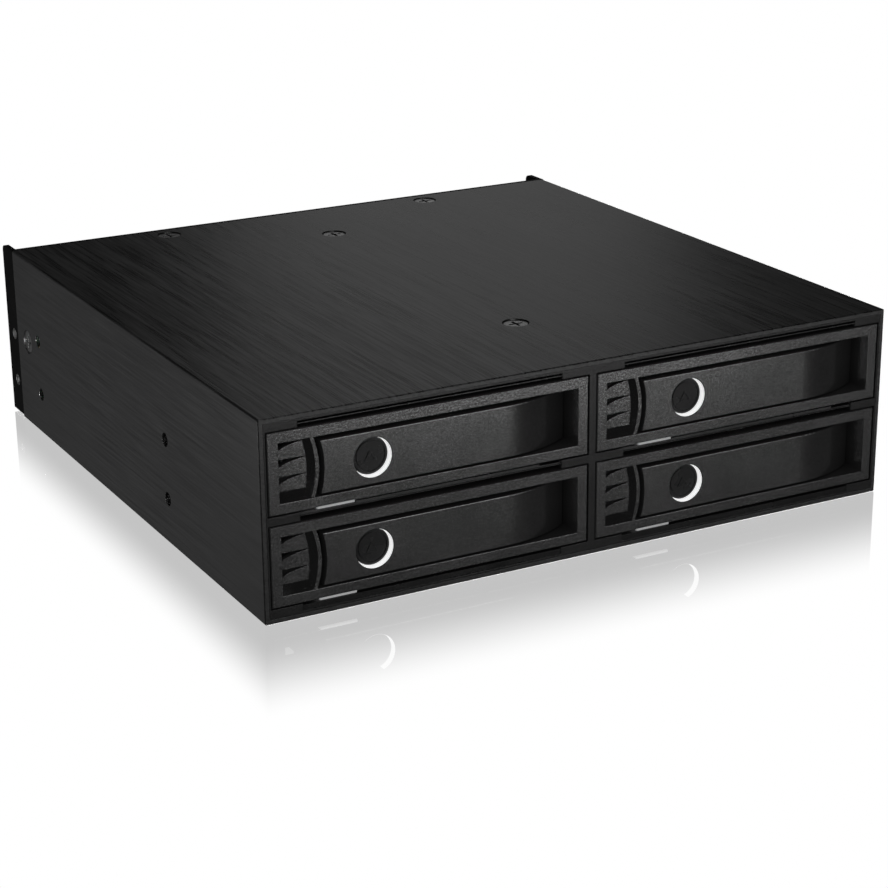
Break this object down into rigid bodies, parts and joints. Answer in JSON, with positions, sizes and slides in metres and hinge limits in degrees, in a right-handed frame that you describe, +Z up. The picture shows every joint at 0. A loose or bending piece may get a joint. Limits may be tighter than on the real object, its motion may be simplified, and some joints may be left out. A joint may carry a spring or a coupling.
{
  "type": "four-tray drive enclosure",
  "caption": "Black brushed-metal drive enclosure for a 5.25-inch bay, with removable 2.5-inch drive trays that have swing levers and round release buttons.",
  "frame": {"origin": "centre of the footprint over shell and rear ears, on the underside", "axes": "+X to the right seen from the front, +Y to the rear, +Z up; the tray fronts face -Y"},
  "size_m": [0.146, 0.1492, 0.0415],
  "materials": {
    "brushed_black": "black anodised aluminium, brushed front to back",
    "frame_black": "black painted die-cast frame, satin",
    "guide_black": "dark steel sheet",
    "board_green": "green solder mask on a circuit board",
    "connector_black": "black moulded connector",
    "chip_black": "black moulded chips and capacitor sleeves",
    "emitter_clear": "clear light emitters",
    "plain_brass": "turned brass",
    "plain_steel": "zinc-plated steel",
    "panel_black": "black powder-coated steel",
    "fan_black": "black moulded plastic",
    "screw_black": "black plated screw",
    "cable_black": "black sleeved cable",
    "tray_grey": "dark grey, fine-grained satin finish",
    "lever_grey": "dark grey, fine-grained satin finish",
    "carrier_black": "black painted steel sheet",
    "light_pipe_white": "milky translucent plastic",
    "ring_white": "bright white gloss ring",
    "button_black": "black gloss plastic",
    "clip_black": "black moulded plastic"
  },
  "bodies": {
    "chassis": {"outer_shell": "brushed_black", "front_frame": "frame_black", "center_divider": "guide_black", "left_shelf": "guide_black", "right_shelf": "guide_black", "ceiling_guides": "guide_black", "floor_guides": "guide_black", "backplane_board": "board_green", "drive_sockets": "connector_black", "data_ports": "connector_black", "power_ports": "connector_black", "board_components": "chip_black", "status_leds": "emitter_clear", "board_standoffs": "plain_brass", "board_screws": "plain_steel", "rear_panel": "panel_black", "fan_frame": "fan_black", "fan_screws": "screw_black", "fan_cable": "cable_black", "top_screws": "screw_black", "bottom_screws": "screw_black", "side_screws": "screw_black"},
    "fan_rotor": {"fan_rotor": "fan_black"},
    "lower_left_tray": {"lower_left_bezel": "tray_grey", "lower_left_carrier": "carrier_black", "lower_left_light_pipe": "light_pipe_white", "lower_left_lever_pin": "plain_steel", "lower_left_latch_clip": "clip_black"},
    "lower_left_handle": {"lower_left_lever": "lever_grey", "lower_left_button_ring": "ring_white", "lower_left_button_spring": "plain_steel"},
    "lower_left_button": {"lower_left_button": "button_black"},
    "lower_right_tray": {"lower_right_bezel": "tray_grey", "lower_right_carrier": "carrier_black", "lower_right_light_pipe": "light_pipe_white", "lower_right_lever_pin": "plain_steel", "lower_right_latch_clip": "clip_black"},
    "lower_right_handle": {"lower_right_lever": "lever_grey", "lower_right_button_ring": "ring_white", "lower_right_button_spring": "plain_steel"},
    "lower_right_button": {"lower_right_button": "button_black"},
    "upper_left_tray": {"upper_left_bezel": "tray_grey", "upper_left_carrier": "carrier_black", "upper_left_light_pipe": "light_pipe_white", "upper_left_lever_pin": "plain_steel", "upper_left_latch_clip": "clip_black"},
    "upper_left_handle": {"upper_left_lever": "lever_grey", "upper_left_button_ring": "ring_white", "upper_left_button_spring": "plain_steel"},
    "upper_left_button": {"upper_left_button": "button_black"},
    "upper_right_tray": {"upper_right_bezel": "tray_grey", "upper_right_carrier": "carrier_black", "upper_right_light_pipe": "light_pipe_white", "upper_right_lever_pin": "plain_steel", "upper_right_latch_clip": "clip_black"},
    "upper_right_handle": {"upper_right_lever": "lever_grey", "upper_right_button_ring": "ring_white", "upper_right_button_spring": "plain_steel"},
    "upper_right_button": {"upper_right_button": "button_black"}
  },
  "joints": [
    {"name": "fan_spin", "type": "hinge", "parent": "chassis", "child": "fan_rotor", "pos_m": [0.045, 0.0624, 0.02075], "axis": [0, 1, 0], "continuous": true},
    {"name": "lower_left_tray_slide", "type": "slide", "parent": "chassis", "child": "lower_left_tray", "axis": [0, -1, 0], "range_m": [0, 0.125]},
    {"name": "lower_left_lever_hinge", "type": "hinge", "parent": "lower_left_tray", "child": "lower_left_handle", "pos_m": [-0.00645, -0.0686, 0.0112], "axis": [0, 0, 1], "range_deg": [0, 60]},
    {"name": "lower_left_button_press", "type": "slide", "parent": "lower_left_handle", "child": "lower_left_button", "axis": [0, 1, 0], "range_m": [0, 0.0012], "deforming": ["lower_left_button_spring"]},
    {"name": "lower_right_tray_slide", "type": "slide", "parent": "chassis", "child": "lower_right_tray", "axis": [0, -1, 0], "range_m": [0, 0.125]},
    {"name": "lower_right_lever_hinge", "type": "hinge", "parent": "lower_right_tray", "child": "lower_right_handle", "pos_m": [0.06595, -0.0686, 0.0112], "axis": [0, 0, 1], "range_deg": [0, 60]},
    {"name": "lower_right_button_press", "type": "slide", "parent": "lower_right_handle", "child": "lower_right_button", "axis": [0, 1, 0], "range_m": [0, 0.0012], "deforming": ["lower_right_button_spring"]},
    {"name": "upper_left_tray_slide", "type": "slide", "parent": "chassis", "child": "upper_left_tray", "axis": [0, -1, 0], "range_m": [0, 0.125]},
    {"name": "upper_left_lever_hinge", "type": "hinge", "parent": "upper_left_tray", "child": "upper_left_handle", "pos_m": [-0.00645, -0.0686, 0.03], "axis": [0, 0, 1], "range_deg": [0, 60]},
    {"name": "upper_left_button_press", "type": "slide", "parent": "upper_left_handle", "child": "upper_left_button", "axis": [0, 1, 0], "range_m": [0, 0.0012], "deforming": ["upper_left_button_spring"]},
    {"name": "upper_right_tray_slide", "type": "slide", "parent": "chassis", "child": "upper_right_tray", "axis": [0, -1, 0], "range_m": [0, 0.125]},
    {"name": "upper_right_lever_hinge", "type": "hinge", "parent": "upper_right_tray", "child": "upper_right_handle", "pos_m": [0.06595, -0.0686, 0.03], "axis": [0, 0, 1], "range_deg": [0, 60]},
    {"name": "upper_right_button_press", "type": "slide", "parent": "upper_right_handle", "child": "upper_right_button", "axis": [0, 1, 0], "range_m": [0, 0.0012], "deforming": ["upper_right_button_spring"]}
  ]
}
